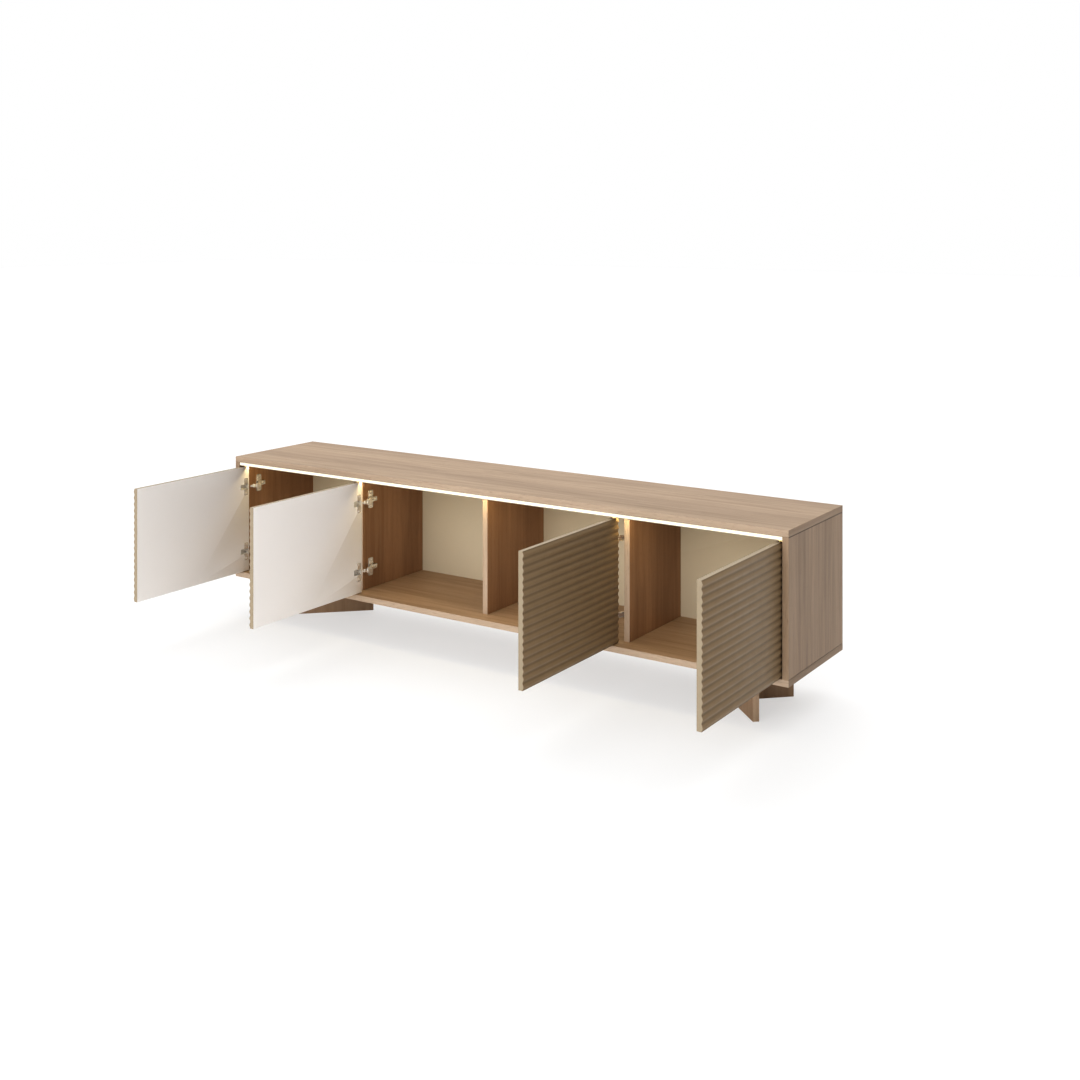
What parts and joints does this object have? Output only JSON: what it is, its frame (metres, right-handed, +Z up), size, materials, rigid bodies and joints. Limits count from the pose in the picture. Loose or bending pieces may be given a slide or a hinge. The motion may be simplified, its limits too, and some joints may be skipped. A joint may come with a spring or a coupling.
{
  "type": "media cabinet",
  "caption": "Low and long oak-board media cabinet with side-hung fluted doors standing open, a light strip under the front of its top, and short board legs.",
  "frame": {"origin": "on the floor, in the middle of the box that holds the cabinet with its doors open at a right angle", "axes": "+X is the cabinet's length, to the right as seen from the front; -Y is the front, where the doors are; +Z is up"},
  "size_m": [2, 0.8484, 0.533],
  "materials": {
    "oak": "matte light oak board, grain along each board's length",
    "back_panel": "matte cream-beige thin board",
    "joint_strip": "matte",
    "door_front": "satin taupe fluted front with a pale inner face",
    "hinge_nickel": "nickel plated, satin",
    "light_profile": "anodised, satin",
    "light_diffuser": "milky, lit",
    "light_strip": "matte white circuit strip",
    "lead": "matte black sheath",
    "inlet": "matte black",
    "leg_board": "matte oak board, upright grain",
    "bracket_steel": "zinc plated"
  },
  "bodies": {
    "carcass": {"top_board": "oak", "bottom_board": "oak", "left_side": "oak", "right_side": "oak", "partition_left": "oak", "partition_middle": "oak", "partition_right": "oak", "back_panel_left": "back_panel", "back_panel_right": "back_panel", "back_joint_strip": "joint_strip", "hinge_arm_1_lower": "hinge_nickel", "mounting_plate_1_lower": "hinge_nickel", "hinge_arm_1_upper": "hinge_nickel", "mounting_plate_1_upper": "hinge_nickel", "hinge_arm_2_lower": "hinge_nickel", "mounting_plate_2_lower": "hinge_nickel", "hinge_arm_2_upper": "hinge_nickel", "mounting_plate_2_upper": "hinge_nickel", "hinge_arm_3_lower": "hinge_nickel", "mounting_plate_3_lower": "hinge_nickel", "hinge_arm_3_upper": "hinge_nickel", "mounting_plate_3_upper": "hinge_nickel", "hinge_arm_4_lower": "hinge_nickel", "mounting_plate_4_lower": "hinge_nickel", "hinge_arm_4_upper": "hinge_nickel", "mounting_plate_4_upper": "hinge_nickel", "light_profile": "light_profile", "light_diffuser": "light_diffuser", "light_strip": "light_strip", "light_lead": "lead", "light_inlet": "inlet", "leg_left_long_board": "leg_board", "leg_left_short_board": "leg_board", "leg_left_front_bracket": "bracket_steel", "leg_left_rear_bracket": "bracket_steel", "leg_right_long_board": "leg_board", "leg_right_short_board": "leg_board", "leg_right_front_bracket": "bracket_steel", "leg_right_rear_bracket": "bracket_steel"},
    "door_1": {"door_1": "door_front", "hinge_cup_1_lower": "hinge_nickel", "hinge_cup_1_upper": "hinge_nickel"},
    "links_1": {"hinge_link_1_lower": "hinge_nickel", "hinge_link_1_upper": "hinge_nickel"},
    "door_2": {"door_2": "door_front", "hinge_cup_2_lower": "hinge_nickel", "hinge_cup_2_upper": "hinge_nickel"},
    "links_2": {"hinge_link_2_lower": "hinge_nickel", "hinge_link_2_upper": "hinge_nickel"},
    "door_3": {"door_3": "door_front", "hinge_cup_3_lower": "hinge_nickel", "hinge_cup_3_upper": "hinge_nickel"},
    "links_3": {"hinge_link_3_lower": "hinge_nickel", "hinge_link_3_upper": "hinge_nickel"},
    "door_4": {"door_4": "door_front", "hinge_cup_4_lower": "hinge_nickel", "hinge_cup_4_upper": "hinge_nickel"},
    "links_4": {"hinge_link_4_lower": "hinge_nickel", "hinge_link_4_upper": "hinge_nickel"}
  },
  "joints": [
    {"name": "door_1_hinge", "type": "hinge", "parent": "carcass", "child": "door_1", "pos_m": [-0.9847, 0.06839, 0.329], "axis": [0, 0, 1], "range_deg": [-2, 90]},
    {"name": "links_1_pivot", "type": "hinge", "parent": "carcass", "child": "links_1", "pos_m": [-0.948, 0.08569, 0.329], "axis": [0, 0, 1], "range_deg": [-120.5, 2.8]},
    {"name": "door_2_hinge", "type": "hinge", "parent": "carcass", "child": "door_2", "pos_m": [-0.4892, 0.06376, 0.329], "axis": [0, 0, 1], "range_deg": [-2, 90]},
    {"name": "links_2_pivot", "type": "hinge", "parent": "carcass", "child": "links_2", "pos_m": [-0.45687, 0.08569, 0.329], "axis": [0, 0, 1], "range_deg": [-142.5, 3.3]},
    {"name": "door_3_hinge", "type": "hinge", "parent": "carcass", "child": "door_3", "pos_m": [0.4892, 0.06376, 0.329], "axis": [0, 0, -1], "range_deg": [-2, 90]},
    {"name": "links_3_pivot", "type": "hinge", "parent": "carcass", "child": "links_3", "pos_m": [0.45687, 0.08569, 0.329], "axis": [0, 0, -1], "range_deg": [-142.5, 3.3]},
    {"name": "door_4_hinge", "type": "hinge", "parent": "carcass", "child": "door_4", "pos_m": [0.9847, 0.06839, 0.329], "axis": [0, 0, -1], "range_deg": [-2, 90]},
    {"name": "links_4_pivot", "type": "hinge", "parent": "carcass", "child": "links_4", "pos_m": [0.948, 0.08569, 0.329], "axis": [0, 0, -1], "range_deg": [-120.5, 2.8]}
  ],
  "couplings": [
    {"joint": "links_1_pivot", "follows": "door_1_hinge", "ratio": -1.3333},
    {"joint": "links_2_pivot", "follows": "door_2_hinge", "ratio": -1.5778},
    {"joint": "links_3_pivot", "follows": "door_3_hinge", "ratio": -1.5778},
    {"joint": "links_4_pivot", "follows": "door_4_hinge", "ratio": -1.3333}
  ]
}
